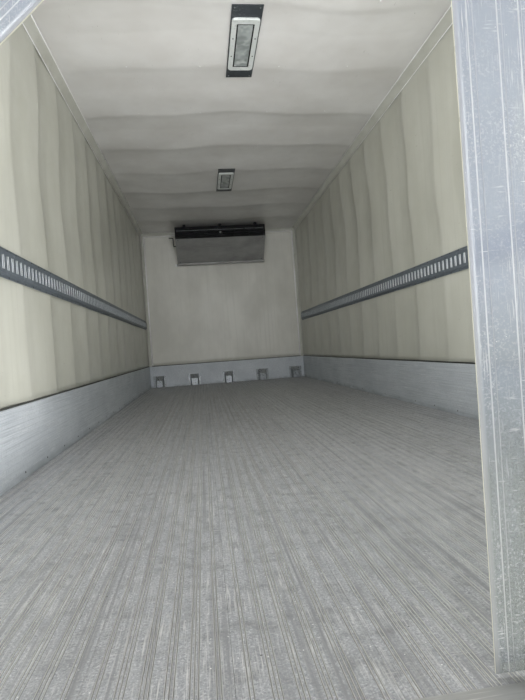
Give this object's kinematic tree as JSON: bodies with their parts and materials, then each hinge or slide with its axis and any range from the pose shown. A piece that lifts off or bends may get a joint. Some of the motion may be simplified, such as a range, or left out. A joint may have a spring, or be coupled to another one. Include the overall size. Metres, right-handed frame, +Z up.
{
  "type": "insulated refrigerated truck body",
  "caption": "Insulated refrigerated truck body with grooved floor, load tracks, ceiling evaporator, strip curtain and swing doors.",
  "frame": {"origin": "middle of the body's length and width, on the floor under the long sills", "axes": "+X right seen from the rear, +Y forward, +Z up"},
  "size_m": [2.73, 7.68, 2.684],
  "materials": {
    "white_panel": "gloss",
    "floor_insulation": "matt",
    "plank_aluminium": "worn mill",
    "sill_aluminium": "worn mill",
    "kick_aluminium": "satin",
    "cream_liner": "satin",
    "front_liner": "satin",
    "ceiling_white": "satin",
    "cove_white": "satin",
    "galvanised": "galvanised",
    "lamp_base": "matt",
    "lamp_bezel": "satin",
    "lamp_lens": "frosted",
    "evaporator_metal": "brushed",
    "black_plastic": "matt",
    "steel_frame": "painted",
    "rail_aluminium": "satin",
    "stainless": "brushed",
    "rubber_black": "matt",
    "lamp_red": "gloss",
    "clear_vinyl": "scuffed clear",
    "tie_webbing": "woven",
    "curtain_aluminium": "mill",
    "nose_white": "gloss",
    "grille_black": "satin",
    "coil_fins": "finned"
  },
  "bodies": {
    "root": {"wall_panel_left": "white_panel", "wall_panel_right": "white_panel", "front_wall_panel": "white_panel", "roof_panel": "white_panel", "floor_panel": "floor_insulation", "floor_planks": "plank_aluminium", "rear_sill": "sill_aluminium", "kick_plate_left": "kick_aluminium", "kick_plate_right": "kick_aluminium", "kick_plate_front": "kick_aluminium", "wall_liner_left": "cream_liner", "wall_liner_right": "cream_liner", "wall_liner_front": "front_liner", "ceiling_liner": "ceiling_white", "corner_coves": "cove_white", "load_track_left": "galvanised", "load_track_right": "galvanised", "front_wall_brackets": "galvanised", "ceiling_lamp_bases": "lamp_base", "ceiling_lamp_bezels": "lamp_bezel", "ceiling_lamp_lenses": "lamp_lens", "evaporator_housing": "evaporator_metal", "evaporator_outlet": "black_plastic", "evaporator_line": "black_plastic", "condenser_fan_plate": "black_plastic", "sill_left": "steel_frame", "sill_right": "steel_frame", "cross_members": "steel_frame", "bottom_rails": "rail_aluminium", "top_rails": "rail_aluminium", "front_post_left": "rail_aluminium", "front_post_right": "rail_aluminium", "rear_post_left": "stainless", "rear_post_right": "stainless", "rear_header": "stainless", "dock_bumpers": "rubber_black", "rear_lamps": "lamp_red", "marker_lamps": "lamp_red", "curtain_strips_left": "clear_vinyl", "curtain_strips_right": "clear_vinyl", "curtain_tie": "tie_webbing", "curtain_rail": "curtain_aluminium", "condenser_housing": "nose_white", "condenser_grille": "grille_black", "condenser_coil": "coil_fins"},
    "door_left": {"door_panel_left": "white_panel", "door_gasket_left": "rubber_black", "door_hinges_left": "stainless", "lock_rods_left": "stainless"},
    "door_right": {"door_panel_right": "white_panel", "door_gasket_right": "rubber_black", "door_hinges_right": "stainless", "lock_rods_right": "stainless"},
    "fan_left": {"condenser_fan_left": "black_plastic"},
    "fan_right": {"condenser_fan_right": "black_plastic"}
  },
  "joints": [
    {"name": "door_right", "type": "hinge", "parent": "root", "child": "door_right", "pos_m": [1.259, -3.784, 0.303], "axis": [0, 0, 1], "range_deg": [-270, 0]},
    {"name": "door_left", "type": "hinge", "parent": "root", "child": "door_left", "pos_m": [-1.259, -3.784, 0.303], "axis": [0, 0, 1], "range_deg": [0, 270]},
    {"name": "fan_right", "type": "hinge", "parent": "root", "child": "fan_right", "pos_m": [0.37, 3.64, 2.183], "axis": [0, 1, 0], "continuous": true},
    {"name": "fan_left", "type": "hinge", "parent": "root", "child": "fan_left", "pos_m": [-0.37, 3.64, 2.183], "axis": [0, 1, 0], "continuous": true}
  ]
}
